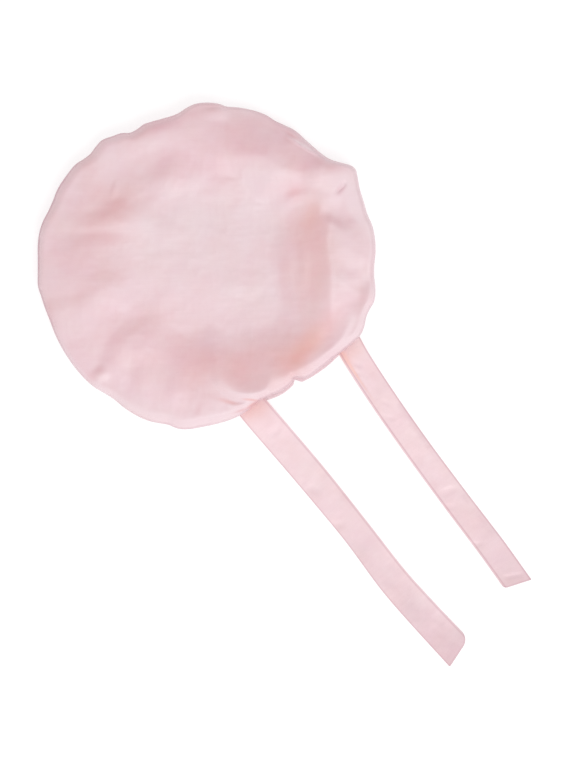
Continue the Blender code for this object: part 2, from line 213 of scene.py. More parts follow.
def makeSilk(name, pale, deep, warm):
    # Charmeuse, a silk satin: long floats give a soft broad gloss and slubs faint streaks along the
    # threads. Its shade is painted in the colour: painted shade in deeper pink where it leans away from
    # the lamp, painted warm bounce light in the closed hollows, painted dark lines where it turns under
    material, tree, shader = newMaterial(name, silk["roughness"], silk["ior"])
    shader.inputs["Sheen Weight"].default_value = silk["sheen"]
    shader.inputs["Sheen Roughness"].default_value = silk["sheenRoughness"]
    flat = addNode(tree, "ShaderNodeUVMap", {"uv_map": "flat"}).outputs["UV"]
    place = addNode(tree, "ShaderNodeTexCoord").outputs["Object"]

    streaks = []
    for turn in (0.0, math.pi / 2.0):  # warp and weft
        along = addNode(tree, "ShaderNodeMapping", Vector=flat, Rotation=(0.0, 0.0, turn),
                        Scale=(1.0 / silk["slubLength"], 1.0 / silk["slubWidth"], 1.0))
        streaks.append(noise(tree, along.outputs[0], 1.0, 2.0, 0.6)["Fac"])
    slub = calculate(tree, "ADD", *streaks)
    shade = addNode(tree, "ShaderNodeMapRange", Value=slub, From_Min=0.6, From_Max=1.4,
                    To_Min=1.0 - silk["slubShade"], To_Max=1.0 + silk["slubShade"]).outputs[0]

    clouds, reach = noise(tree, place, silk["clouds"], 3.0)["Fac"], silk["cloudReach"]
    tint = calculate(tree, "MULTIPLY_ADD", clouds, 2.0 * reach, -reach)
    depth = calculate(tree, "ADD", tint, pointValue(tree, "paintedShade"), clamp=True)
    colour = blend(tree, depth, linear(pale), linear(deep))
    colour = blend(tree, pointValue(tree, "paintedWarmth"), colour, linear(warm))
    colour = blend(tree, pointValue(tree, "edge"), colour, linear(silk["edge"]))
    toned = addNode(tree, "ShaderNodeVectorMath", {"operation": "SCALE"}, i0=colour, Scale=shade)

    mottle = noise(tree, place, silk["mottle"], 4.0, 0.65)["Color"]
    drift = addNode(tree, "ShaderNodeSeparateColor", Color=mottle)
    hue, saturation = (
        addNode(tree, "ShaderNodeMapRange", Value=drift.outputs[channel], From_Min=0.3, From_Max=0.7,
                To_Min=level - reach, To_Max=level + reach).outputs[0]
        for channel, level, reach in ((0, 0.5, silk["hueDrift"]), (1, 1.0, silk["saturationDrift"])))
    paintedRichness = pointValue(tree, "paintedRichness")
    dyed = addNode(tree, "ShaderNodeHueSaturation", Hue=hue, Color=toned.outputs[0],
                   Saturation=calculate(tree, "ADD", saturation, paintedRichness),
                   Value=calculate(tree, "MULTIPLY_ADD", paintedRichness, silk["richLight"], 1.0))
    tree.links.new(dyed.outputs[0], shader.inputs["Base Color"])

    threads = addNode(tree, "ShaderNodeTexWave", {"bands_direction": "Y"}, Vector=flat,
                      Scale=1.0 / silk["threadSize"] / (2.0 * math.pi), Distortion=0.4, Detail=1.0)
    weave = addNode(tree, "ShaderNodeBump", Strength=0.12, Distance=silk["threadRelief"],
                    Height=threads.outputs["Fac"])
    ribs = addNode(tree, "ShaderNodeBump", Strength=0.5, Distance=silk["slubRelief"], Height=slub,
                   Normal=weave.outputs[0])
    creased = noise(tree, place, silk["crinkles"], 4.0, 0.55, {"noise_type": "RIDGED_MULTIFRACTAL"},
                    Distortion=0.6)["Fac"]
    crinkle = addNode(tree, "ShaderNodeBump", Strength=1.0, Distance=silk["crinkleRelief"], Height=creased,
                      Normal=ribs.outputs[0])
    tree.links.new(crinkle.outputs[0], shader.inputs["Normal"])
    return material


crownSilk = makeSilk("silkCharmeuseCrown", silk["crownPale"], silk["crownDeep"], silk["crownWarm"])
casingSilk = makeSilk("silkCharmeuseCasing", silk["casing"], silk["crownDeep"], silk["crownWarm"])
tieSilk = makeSilk("silkCharmeuseTie", silk["tiePale"], silk["tieDeep"], silk["tieWarm"])
print("materials made")


# Cloth: folds, crumples and tints of painted light and shade, which the crown and the ties share

cloth = {
    "foldFoot": 0.5,  # how softly a fold runs out at its foot
    "leanSpan": 3.0,  # how far each way the lean of the cloth is read
}


def foldProfile(aside, crest):  # height of a fold at a share of its reach to the side
    fall = np.hypot(aside, crest) - crest
    height = np.maximum(0.0, 1.0 - fall / (np.hypot(1.0, crest) - crest))
    return height * height * (1.0 + cloth["foldFoot"]) / (height + cloth["foldFoot"])


def foldHeight(table, x, y):
    total = np.zeros_like(x)
    for fold in rowsOf(table):
        runX, runY = fold["toX"] - fold["fromX"], fold["toY"] - fold["fromY"]
        length = math.hypot(runX, runY)
        runX, runY = runX / length, runY / length
        awayX, awayY = x - fold["fromX"], y - fold["fromY"]
        along = (awayX * runX + awayY * runY) / length
        aside = runX * awayY - runY * awayX - fold["bow"] * 4.0 * along * (1.0 - along)
        spread = np.where(aside > 0.0, aside / fold["left"], -aside / fold["right"])
        fade = smoothStep(0.0, fold["rise"], along) * smoothStep(0.0, fold["fall"], 1.0 - along)
        total += fold["height"] * fade * foldProfile(np.minimum(spread, 1.0), fold["round"])
    return total


def crumpleHeight(table, x, y, firstSeed):
    total = np.zeros_like(x)
    for seed, row in enumerate(rowsOf(table), firstSeed):
        hill = softNoise(x, y, row["size"], seed)
        total += row["height"] * (hill * (1.0 - row["sharp"]) + row["sharp"] * (1.0 - 2.0 * np.abs(hill)))
    return total


def tintAt(table, kind, x, y):
    total = np.zeros_like(x)
    for spot in rowsOf(table):
        turn = math.radians(spot["heading"])
        along = (x - spot["x"]) * math.cos(turn) + (y - spot["y"]) * math.sin(turn)
        aside = (y - spot["y"]) * math.cos(turn) - (x - spot["x"]) * math.sin(turn)
        total += spot[kind] * np.exp(-(along / spot["length"]) ** 2 - (aside / spot["width"]) ** 2)
    return total


def leanAt(height, x, y):  # how steeply it rises towards the lamp
    stepX = cloth["leanSpan"] * math.cos(math.radians(lampHeading))
    stepY = cloth["leanSpan"] * math.sin(math.radians(lampHeading))
    return (height(x + stepX, y + stepY) - height(x - stepX, y - stepY)) / (2.0 * cloth["leanSpan"])


# Casing: a flat tube of satin that holds the elastic and lies on the surface

casing = {
    "centre": (-44.0, 84.5),
    "width": 12.0,
    "height": 4.0,
    "gap": 0.3,  # to what lies on it
    "stations": 720,
    "sides": 20,
    "radius": 88.0,  # on average, and the step from side to side: both only for the weave
    "sideStep": 1.6,
    "squareness": 0.45,  # 1 makes its section an ellipse, less a box
    "gathers": 84,
    "gatherDepth": 1.3,
    "stray": 1.6,  # how unevenly the gathers lie, in radians, over patches of so many degrees
    "strayPatch": 7.0,
    "straySeed": 31,
    "stretchedIn": (270.0, 284.0),  # where it peeks out it is stretched, which takes up most of its gathers
    "stretchedOut": (336.0, 350.0),
    "stretched": 0.94,
    "edgeLine": 0.45,  # how strong the painted dark line of shade at its outer edge is, and how narrow
    "edgeLineFrom": 0.93,
}

mouth = columns("angle reach", [
    (5, 99.0), (20, 93.0), (45, 90.0), (90, 90.0), (135, 88.0), (180, 88.0), (210, 91.0), (240, 98.0),
    (262, 106.0), (275, 106.5), (284, 103.4), (290, 103.0), (295, 102.3), (299, 100.9), (303, 99.6),
    (307, 102.0), (311, 103.8), (317, 106.2), (324, 109.4), (330, 112.2), (336, 115.5), (343, 116.0),
    (353, 108.0),
])

pinch = {"angle": 304.5, "depth": 4.0, "halfWidth": 2.5}  # where the casing is drawn in


def mouthReach(degrees):
    turn = np.abs(np.mod(degrees - pinch["angle"] + 180.0, 360.0) - 180.0)
    drawnIn = pinch["depth"] * np.maximum(0.0, 1.0 - turn / pinch["halfWidth"])
    return readAround(mouth, "reach", degrees) - drawnIn


def pastCasing(x, y):  # how far a place lies outside the casing
    x, y = x - casing["centre"][0], y - casing["centre"][1]
    return np.hypot(x, y) - readAround(mouth, "reach", np.degrees(np.arctan2(y, x)))


def aroundCasing(reach, degrees):  # places at that reach from the casing's centre
    turn = np.radians(degrees)
    return casing["centre"] + np.column_stack([reach * np.cos(turn), reach * np.sin(turn)])


def waves(count, degrees, piece):  # so many gathers in a round, each from 0 to 1, unevenly spaced
    stray = piece["stray"] * softNoise(degrees, 0.0 * degrees, piece["strayPatch"], piece["straySeed"])
    return 0.5 - 0.5 * np.cos(np.radians(count * degrees) + stray)


def casingRow(degrees, turn):  # a line round the casing, at a turn of its flattened section
    stretched = casing["stretched"] * smoothStep(*casing["stretchedIn"], degrees)
    stretched *= 1.0 - smoothStep(*casing["stretchedOut"], degrees)
    gather = casing["gatherDepth"] * (1.0 - stretched) * waves(casing["gathers"], degrees, casing)
    across, up = (math.copysign(abs(f(turn)) ** casing["squareness"], f(turn)) for f in (math.cos, math.sin))
    reach = mouthReach(degrees) - 0.5 * gather + casing["width"] / 2.0 * (across - 1.0)
    return np.column_stack([aroundCasing(reach, degrees), (casing["height"] - gather) * (0.5 + 0.5 * up)])


def makeCasing():
    degrees = 360.0 * np.arange(casing["stations"]) / casing["stations"]
    turns = 2.0 * math.pi * np.arange(casing["sides"]) / casing["sides"]
    points = np.stack([casingRow(degrees, turn) for turn in turns], axis=1)
    index = np.arange(points.shape[0] * points.shape[1]).reshape(points.shape[:2])
    faces = quadsOf(np.pad(index, ((0, 1), (0, 1)), mode="wrap").T)
    thing = meshObject("casingTube", points.reshape(-1, 3) * mm, faces.tolist(), casingSilk)
    around = np.repeat(np.radians(degrees) * casing["radius"], casing["sides"])
    across = np.tile(np.arange(casing["sides"]) * casing["sideStep"], casing["stations"])
    setUv(thing, np.column_stack([around, across]) * mm)
    # painted shade: a dark line along its outer edge, and no painted lean shade or warm bounce light
    line = casing["edgeLine"] * smoothStep(casing["edgeLineFrom"], 1.0, np.cos(turns))
    setValue(thing, "edge", np.tile(line, casing["stations"]))
    setValue(thing, "paintedShade", 0.0 * around)
    setValue(thing, "paintedWarmth", 0.0 * around)
    return thing


# Stitches that close the casing: two rows underneath and one on top, near its edges

stitch = {
    "length": 2.4,
    "pitch": 3.1,
    "thread": 0.4,
    "turns": (52.0, -52.0, 232.0),  # where on the casing's section each row lies
    "colour": "#e6cfd3",
    "roughness": 0.6,
    "ior": 1.54,
    "hairs": 4000.0,  # for a metre
    "hairRelief": 0.00005,  # metres
}


def makeThread():
    # Spun polyester thread: duller than the satin, its hairy twist gives a fine uneven grain
    material, tree, shader = newMaterial("spunPolyesterThread", stitch["roughness"], stitch["ior"])
    place = addNode(tree, "ShaderNodeTexCoord").outputs["Object"]
    hairs = noise(tree, place, stitch["hairs"], 2.0)["Fac"]
    shade = addNode(tree, "ShaderNodeMapRange", Value=hairs, To_Min=0.93, To_Max=1.0).outputs[0]
    pink = addNode(tree, "ShaderNodeRGB")
    pink.outputs[0].default_value = linear(stitch["colour"])
    colour = addNode(tree, "ShaderNodeVectorMath", {"operation": "SCALE"}, i0=pink.outputs[0], Scale=shade)
    tree.links.new(colour.outputs[0], shader.inputs["Base Color"])
    grain = addNode(tree, "ShaderNodeBump", Strength=0.5, Distance=stitch["hairRelief"], Height=hairs)
    tree.links.new(grain.outputs[0], shader.inputs["Normal"])
    return material


def stitchTree(thread):  # one slim bead for each stitch, laid end to end along the seam lines
    tree = bpy.data.node_groups.new("lockstitch", "GeometryNodeTree")
    tree.interface.new_socket("Seam", in_out="INPUT", socket_type="NodeSocketGeometry")
    for name in ("Pitch", "Stitch length", "Thread width"):
        tree.interface.new_socket(name, in_out="INPUT", socket_type="NodeSocketFloat")
    tree.interface.new_socket("Stitches", in_out="OUTPUT", socket_type="NodeSocketGeometry")
    entry = addNode(tree, "NodeGroupInput").outputs
    seam = addNode(tree, "GeometryNodeMeshToCurve", Mesh=entry["Seam"])
    places = addNode(tree, "GeometryNodeResampleCurve", {"mode": "LENGTH"}, Curve=seam.outputs[0],
                     Length=entry["Pitch"])
    along = addNode(tree, "GeometryNodeInputTangent")
    turned = addNode(tree, "FunctionNodeAlignRotationToVector", {"axis": "Z"}, Vector=along.outputs[0])
    size = addNode(tree, "ShaderNodeCombineXYZ", X=entry["Thread width"], Y=entry["Thread width"],
                   Z=entry["Stitch length"])
    bead = addNode(tree, "GeometryNodeMeshUVSphere", Segments=8, Rings=6, Radius=0.5)
    beads = addNode(tree, "GeometryNodeInstanceOnPoints", Points=places.outputs[0], Instance=bead.outputs[0],
                    Rotation=turned.outputs[0], Scale=size.outputs[0])
    made = addNode(tree, "GeometryNodeRealizeInstances", Geometry=beads.outputs[0])
    smooth = addNode(tree, "GeometryNodeSetShadeSmooth", Geometry=made.outputs[0])
    dyed = addNode(tree, "GeometryNodeSetMaterial", Geometry=smooth.outputs[0])
    dyed.inputs["Material"].default_value = thread
    addNode(tree, "NodeGroupOutput", Stitches=dyed.outputs[0])
    return tree


def makeStitches():
    degrees = 360.0 * np.arange(casing["stations"]) / casing["stations"]
    rows = [casingRow(degrees, math.radians(turn)) for turn in stitch["turns"]]
    line = np.arange(len(degrees))
    edges = [np.column_stack([line, np.roll(line, -1)]) + k * len(line) for k in range(len(rows))]
    seam = bpy.data.meshes.new("seamLines")
    seam.from_pydata((np.concatenate(rows) * mm).tolist(), np.concatenate(edges).tolist(), [])
    thing = bpy.data.objects.new("seamLines", seam)
    bpy.context.scene.collection.objects.link(thing)
    tree = stitchTree(makeThread())
    nodes = thing.modifiers.new("stitches", "NODES")
    nodes.node_group = tree
    sizes = {"Pitch": stitch["pitch"], "Stitch length": stitch["length"], "Thread width": stitch["thread"]}
    for socket in tree.interface.items_tree:
        if socket.name in sizes:
            nodes[socket.identifier] = sizes[socket.name] * mm
    ready = thing.evaluated_get(bpy.context.evaluated_depsgraph_get())
    mesh = bpy.data.meshes.new_from_object(ready)
    thing.modifiers.clear()
    bpy.data.objects.remove(thing)
    mesh.name = "casingStitches"
    stitches = bpy.data.objects.new("casingStitches", mesh)
    bpy.context.scene.collection.objects.link(stitches)
    return stitches


# Ties

ribbon = {
    "thickness": 1.2,
    "edgeShare": 0.55,  # of the thickness, where the edges are pressed thin
    "edgeSharpness": 8,
    "leastThickness": 0.4,
    "stations": 300,
    "columns": 40,
    "headingSpan": 0.02,  # the heading is read over this share of the length
    "slantFrom": 0.85,  # the slant of the free end begins at this share of the length
    "settle": (2.0, 46.0),  # a tie comes down to the surface between these distances past the casing
    "paintedShadePer": 0.9,  # painted shade: how much deeper the colour is as the cloth leans away
    "lineSpread": 0.65,
    "crumpleSeed": 41,
}

# The middle line from the sewn end to the free end, with the width and how deep the painted shade is there
leftTie = columns("x y width deep", [
    (-37.5, -15.5, 30.0, 0.0), (-22.5, -33.5, 31.0, 0.0), (25.5, -89.5, 31.0, 0.05),
    (71.0, -145.5, 29.5, 0.3), (107.5, -193.5, 31.0, 0.45), (135.5, -225.5, 32.0, 0.6),
    (174.6, -267.6, 33.0, 1.0),
])

rightTie = columns("x y width deep", [
    (60.5, 47.5, 26.5, 0.0), (74.5, 22.5, 26.5, 0.0), (103.5, -21.5, 26.5, 0.05), (134.5, -65.5, 26.5, 0.05),
    (170.0, -113.5, 27.0, 0.3), (206.0, -161.0, 27.5, 0.4), (233.3, -199.0, 27.5, 0.8),
])

# The free end: how far its right-hand corner leads and how round the corners are. The two edges: how
# far in the painted dark line of shade lies where the ribbon turns under, and how strong that line is
leftLook = {"slant": 4.0, "roundLeft": 9.0, "roundRight": 1.5,
            "lineLeft": 1.7, "strengthLeft": 0.45, "lineRight": 0.7, "strengthRight": 0.35}
rightLook = {"slant": -4.4, "roundLeft": 1.0, "roundRight": 3.5,
             "lineLeft": 0.9, "strengthLeft": 0.5, "lineRight": 1.9, "strengthRight": 0.6}

# Creases of both ties, with the same columns as the crown's folds
tieFolds = columns("fromX fromY toX toY bow left right height round rise fall", [
    (60, -172, 74, -158, 0, 6, 6, -0.7, 0.4, 0.5, 0.5),
    (94, -222, 116, -226, 2, 6, 6, -0.7, 0.4, 0.5, 0.5),
    (118, -262, 140, -256, 0, 6, 6, -0.7, 0.4, 0.5, 0.5),
    (172, -300, 212, -352, 3, 6, 9, -0.8, 0.4, 0.4, 0.4),
    (222, -356, 244, -376, 0, 6, 6, -0.6, 0.4, 0.5, 0.5),
    (143, -95, 156, -102, 1, 3, 3, -0.6, 0.3, 0.4, 0.4),
    (146, -103, 154, -109, 0, 2.5, 3, -0.5, 0.3, 0.4, 0.4),
    (172, -132, 186, -140, 0, 3, 4, -0.5, 0.3, 0.5, 0.5),
    (176, -149, 190, -153, 0, 3, 4, -0.5, 0.3, 0.5, 0.5),
    (230, -230, 253, -221, 2, 4, 6, -0.9, 0.2, 0.4, 0.4),
    (232, -238, 252, -242, 0, 4, 5, -0.6, 0.3, 0.5, 0.5),
    (261, -279, 278, -276, 0, 3, 4, -0.7, 0.3, 0.4, 0.5),
    (294, -311, 318, -307, 0, 3, 4, -0.6, 0.2, 0.3, 0.3),
])

tieCrumples = columns("size height sharp", [(30, 0.5, 0.0), (14, 0.3, 0.2), (7, 0.16, 0.5), (3.5, 0.07, 0.7)])

# Painted light and shade on the ties: deep above zero is painted shade, below zero painted light, and warm is
# painted warm bounce light
tieTints = columns("x y width length heading deep warm", [
    (46, -143, 9, 20, 35, 0.2, 0.6),
    (60, -152, 8, 12, -50, 0.25, 0.1),
    (105, -227, 7, 10, -50, 0.25, 0.05),
    (137, -230, 4, 12, -50, 0.2, 0.1),
    (131, -260, 7, 9, -50, 0.2, 0.1),
    (158, -292, 7, 24, -55, 0.2, 0.05),
    (186, -320, 8, 22, -52, 0.15, 0.0),
    (209, -349, 9, 16, -50, 0.15, 0.0),
    (182, -286, 5, 30, -52, -0.3, 0.0),
    (214, -325, 6, 28, -50, -0.3, 0.0),
    (238, -352, 6, 14, -45, -0.35, 0.0),
    (136, -90, 4, 16, -55, 0.2, 0.7),
    (146, -84, 9, 16, 40, 0.2, 0.4),
    (145, -103, 1.2, 26, -56, 1.0, 1.0),
    (160, -110, 8, 24, -55, 0.15, 0.0),
    (163, -102, 5, 11, -53, 0.25, 0.1),
    (151, -100, 4, 6, -30, 0.25, 0.0),
    (209, -162, 3, 32, -55, 0.5, 0.0),
    (213, -196, 5, 8, -53, 0.2, 0.05),
    (226, -217, 4, 7, -53, 0.25, 0.05),
    (258, -232, 3, 6, -53, 0.35, 0.0),
    (276, -255, 3, 12, -53, 0.25, 0.0),
    (300, -300, 8, 14, -53, 0.2, 0.0),
    (306, -316, 4, 14, 10, 0.25, 0.1),
    (186, -131, 5, 7, -53, -0.2, 0.0),
])


def cornerLag(across, half, radius):  # how far a rounded corner stays behind the straight end
    inside = np.clip(across - (half - radius), 0.0, radius)
    return radius - np.sqrt(radius * radius - inside * inside)


def tieRelief(x, y):
    return foldHeight(tieFolds, x, y) + crumpleHeight(tieCrumples, x, y, ribbon["crumpleSeed"])


def tieSpine(table):  # share, middle line, heading and half width at each station
    share = np.linspace(0.0, 1.0, ribbon["stations"] + 1)
    ahead = np.minimum(share + ribbon["headingSpan"] / 2.0, 1.0)
    behind = ahead - ribbon["headingSpan"]
    run = np.stack([readAlong(table, c, ahead) - readAlong(table, c, behind) for c in "xy"], -1)
    run /= np.hypot(run[:, 0], run[:, 1])[:, None]
    middle = np.stack([readAlong(table, c, share) for c in "xy"], -1)
    return share, middle, run, readAlong(table, "width", share) / 2.0


def tieShadeLines(look, across, half, toEnd):  # the painted dark lines of shade where the ribbon turns under
    spread = ribbon["lineSpread"]
    line = look["strengthLeft"] * np.exp(-((toEnd - spread) / spread) ** 2)
    for side, inset in (("Right", half - across), ("Left", half + across)):
        line = line + look["strength" + side] * np.exp(-((inset - look["line" + side]) / spread) ** 2)
    return line


def makeTie(name, table, look):
    share, middle, run, half = tieSpine(table)
    length = np.concatenate([[0.0], np.cumsum(np.hypot(*np.diff(middle, axis=0).T))])
    sides = np.cos(np.pi * np.arange(ribbon["columns"] + 1) / ribbon["columns"])  # crowds to both edges
    across = sides * half[:, None]  # to the right of the run
    lead = look["slant"] * sides - cornerLag(across[-1], half[-1], look["roundRight"])
    lead = lead - cornerLag(-across[-1], half[-1], look["roundLeft"])
    lead = lead * smoothStep(ribbon["slantFrom"], 1.0, share)[:, None]
    left = np.column_stack([-run[:, 1], run[:, 0]])
    place = middle[:, None] - left[:, None] * across[..., None] + run[:, None] * lead[..., None]
    x, y = place[..., 0], place[..., 1]
    u, v = x - crownCentre[0], y - crownCentre[1]

    down = smoothStep(*ribbon["settle"], pastCasing(x, y))
    base = (casing["height"] + casing["gap"]) * (1.0 - down)
    relief = tieRelief(u, v) * down
    full = ribbon["edgeShare"] + (1.0 - ribbon["edgeShare"]) * (1.0 - sides ** ribbon["edgeSharpness"])
    low = base + np.maximum(relief, 0.0)
    top = np.maximum(low + ribbon["leastThickness"], base + relief + ribbon["thickness"] * full)
    points = np.concatenate([np.stack([x, y, height], -1).reshape(-1, 3) for height in (top, low)])
    index = np.arange(x.size).reshape(x.shape)
    border = borderOf(index)
    after = np.roll(border, -1)
    walls = np.stack([border, after, after + x.size, border + x.size], -1)
    topFaces = quadsOf(index.T)
    faces = np.concatenate([topFaces, topFaces[:, ::-1] + x.size, walls])
    thing = meshObject(name, points * mm, faces.tolist(), tieSilk)
    mesh = bmesh.new()
    mesh.from_mesh(thing.data)
    bmesh.ops.recalc_face_normals(mesh, faces=mesh.faces)
    mesh.to_mesh(thing.data)
    mesh.free()

    flat = np.stack([across, length[:, None] + 0.0 * across], -1)
    setUv(thing, np.concatenate([flat, flat]).reshape(-1, 2) * mm)
    # painted shade from the lean and the tints, painted warm bounce light, and painted dark edge lines
    deep = readAlong(table, "deep", share)[:, None] + tintAt(tieTints, "deep", u, v)
    looks = {
        "paintedShade": deep + ribbon["paintedShadePer"] * leanAt(tieRelief, u, v),
        "paintedWarmth": tintAt(tieTints, "warm", u, v),
        "edge": tieShadeLines(look, across, half[:, None], (length[-1] - length)[:, None]),
    }
    for kind, values in looks.items():
        values = np.clip(values, 0.0, 1.0).ravel()
        setValue(thing, kind, np.concatenate([values, values]))
    return thing


# Crown

crown = {
    "rimHeight": 12.5,
    "rimTurn": 11.0,  # radius of the turn under the rim
    "edgePower": 2.2,  # how square the rolled edge is
    "wall": 1.2,
    "floorHeight": 27.0,  # the middle, which sinks over the mouth
    "sagDepth": 11.0,
    "sagHeading": -52.0,  # it lies deeper towards this side, growing between these distances
    "sag": (-115.0, 60.0),
    "warp": 4.0,  # how far the folds wander off their straight lines, in patches of that size
    "warpSize": 38.0,
    "warpSeeds": (3, 4),
    "crumpleSeed": 11,
    "crumpleFade": 14.0,  # the crumples fade over this distance inside the rim
    "seamInset": 10.5,  # the sewn edge lies this far inside the casing's outer edge
    "climb": (1.2, 8.0),  # the cloth climbs onto the casing between these distances from it
    "tieClear": 12.0,  # and over a tie within this distance, with that headroom
    "tieHeadroom": 0.9,
    "pleats": 24,
    "pleatHeight": 7.0,
    "pleatSpan": 60.0,  # where the underside is narrower than this, the pleats are lower
    "pleatSwells": 5,
    "pleatSwell": 0.25,
    "pleatPressed": 0.12,  # what is left of the pleats where they are sewn in, pressed flat
    "sewnFade": 16.0,
    "gathers": 72,
    "gatherHeight": 1.4,
    "gatherFade": (4.0, 34.0),  # they run out between these distances from the sewn edge
    "stray": 1.5,  # how unevenly the gathers lie, in radians, over patches of so many degrees
    "strayPatch": 9.0,
    "straySeed": 21,
    "puckerDepth": 2.0,  # creases down the side, with their size
    "puckerSize": 15.0,
    "puckerSlant": 0.5,  # they run down the side, and shift this much with height
    "puckerAbove": 0.35,  # they are shallower above the rim, where the cloth is taut
    "puckerFree": 5.0,  # and fade within this height of the rim's own line
    "puckerInside": (4.0, 12.0),  # and end on top and underneath between these distances
    "puckerUnder": (8.0, 20.0),
    "puckerLayers": ((1.0, 51), (0.45, 52)),  # share of the size and depth, and seed
    "coreCells": 160,  # the middle is a square grid, the rest rings round it
    "coreShare": 0.66,  # how far the grid reaches, how round it is, and the size of its square part
    "coreRound": 0.65,
    "coreSquare": 0.86,
    "rings": 40,
    "ringCrowding": 1.5,  # they lie closer together towards the rim
    "turnRings": 10,
    "underRings": 26,
    "liningStep": 4,  # the lining takes every fourth point of the outside
    "paintedShadeFrom": 0.35,  # painted shade: how deep the colour is on the level, and how it grows as the cloth leans away
    "paintedShadePer": 1.1,
    "paintedShadeRims": (3.5, 9.0),  # the rolled edge takes the paler of the painted shades read this far inside it
    "pale": (-14.0, 68.0),  # between these angles the rolled edge shows both layers, with painted light making it paler and painted edge shade greyer
    "paleFade": 12.0,
    "paleWidth": 4.2,
    "paleSoft": 0.3,
    # painted light and painted edge shade on the pale rim
    "paleRimShade": -0.35,
    "paleGrey": 0.25,
    "line": (-2.6, -0.6),  # the painted dark line of shade sets in between these distances past the rim
    "lineBelow": 7.0,  # and fades between these heights below and above it
    "lineAbove": 4.0,
}

rim = columns("angle reach", [
    (0, 166.6), (5, 168.6), (10, 169.6), (14, 169.4), (18, 167.8), (22, 168.6), (27, 170.6), (31, 174.6),
    (33, 176.6), (35, 175.0), (37, 170.4), (40, 164.0), (43, 160.6), (48, 159.3), (52, 159.6), (57, 161.1),
    (62, 160.2), (65, 160.0), (69, 161.8), (76, 161.7), (80, 161.0), (83, 160.4), (86, 162.4), (90, 163.1),
    (94, 162.3), (97, 159.8), (101, 155.0), (107, 153.7), (111, 154.4), (114, 155.0), (117, 153.5),
    (120, 153.7), (123, 158.0), (126, 160.3), (130, 163.7), (133, 163.0), (136, 161.7), (139, 163.0),
    (142, 165.8), (147, 167.0), (153, 167.9), (157, 167.2), (161, 167.8), (164, 169.5), (168, 170.7),
    (172, 170.5), (178, 169.1), (182, 169.1), (187, 169.9), (190, 168.5), (194, 167.3), (199, 166.1),
    (204, 166.3), (214, 166.3), (222, 166.1), (227, 165.2), (231, 163.1), (235, 162.2), (239, 163.6),
    (244, 164.8), (249, 165.1), (253, 163.8), (256, 163.0), (260, 164.7), (263, 163.9), (268, 160.6),
    (273, 157.8), (278, 155.2), (282, 152.6), (287, 148.0), (291, 144.2), (296, 143.7), (300, 144.7),
    (304, 144.4), (306.6, 143.1), (308.2, 141.5), (309.6, 144.6), (311, 148.2), (313, 150.2), (316.5, 151.3),
    (321, 153.9), (325.5, 156.9), (328, 159.8), (332, 164.0), (336, 167.6), (339, 167.8), (342, 166.6),
    (345, 167.6), (348, 170.2), (353, 168.9), (356, 167.0),
])

# Section of the top sheet by angle: its crest and that one's height, the height left at the rim, the
# slope inside the crest, how round the crest is, how wide the rolled edge, and how strong its painted dark
# line of shade
sections = columns("angle crestAt crest shoulder slope roundness edge line", [
    (0, 125, 33, 29, 66, 0.12, 7, 0.2),
    (18, 130, 33, 28, 66, 0.15, 7, 0.2),
    (27, 134, 32, 28, 62, 0.2, 7, 0.25),
    (34, 137, 33, 27.5, 58, 0.3, 6, 0.3),
    (40, 135, 34.5, 26, 54, 0.4, 5, 0.35),
    (46, 130, 36, 24, 48, 0.4, 4, 0.4),
    (53, 121.5, 37, 22, 42, 0.4, 3, 0.45),
    (62, 122, 37, 21, 38, 0.4, 3, 0.45),
    (75, 118, 33, 20, 28, 0.5, 3, 0.25),
    (90, 119, 29.5, 24, 36, 0.6, 3, 0.3),
    (105, 122, 29, 27, 60, 0.8, 8, 0.4),
    (122, 126, 28, 27, 60, 0.8, 11, 0.7),
    (140, 128, 28, 26, 60, 0.8, 12, 0.65),
    (155, 126, 28, 26, 60, 0.8, 11, 0.8),
    (170, 124, 28, 26, 60, 0.8, 8, 0.95),
    (195, 120, 28, 26, 60, 0.8, 6, 0.75),
    (225, 124, 27, 26, 60, 0.8, 7, 0.15),
    (248, 130, 27, 25, 60, 0.7, 11, 0.25),
    (265, 126, 28, 25, 66, 0.5, 12, 0.35),
    (276, 116, 29.5, 26, 60, 0.3, 11, 0.25),
    (286, 131, 30, 27, 64, 0.12, 9, 0.3),
    (293, 136, 30, 27, 66, 0.1, 7, 0.45),
    (300, 132, 29.5, 26.5, 64, 0.12, 8, 0.5),
    (306, 134, 29, 27.5, 62, 0.08, 7, 0.5),
    (311, 137, 28.5, 28.5, 58, 0.2, 7, 0.5),
    (317, 137, 27.5, 28.3, 54, 0.3, 8, 0.5),
    (326, 136, 26.5, 28, 52, 0.3, 8, 0.5),
    (336, 132, 28, 28.6, 54, 0.2, 8, 0.35),
    (348, 128, 32, 28, 60, 0.12, 7, 0.3),
])

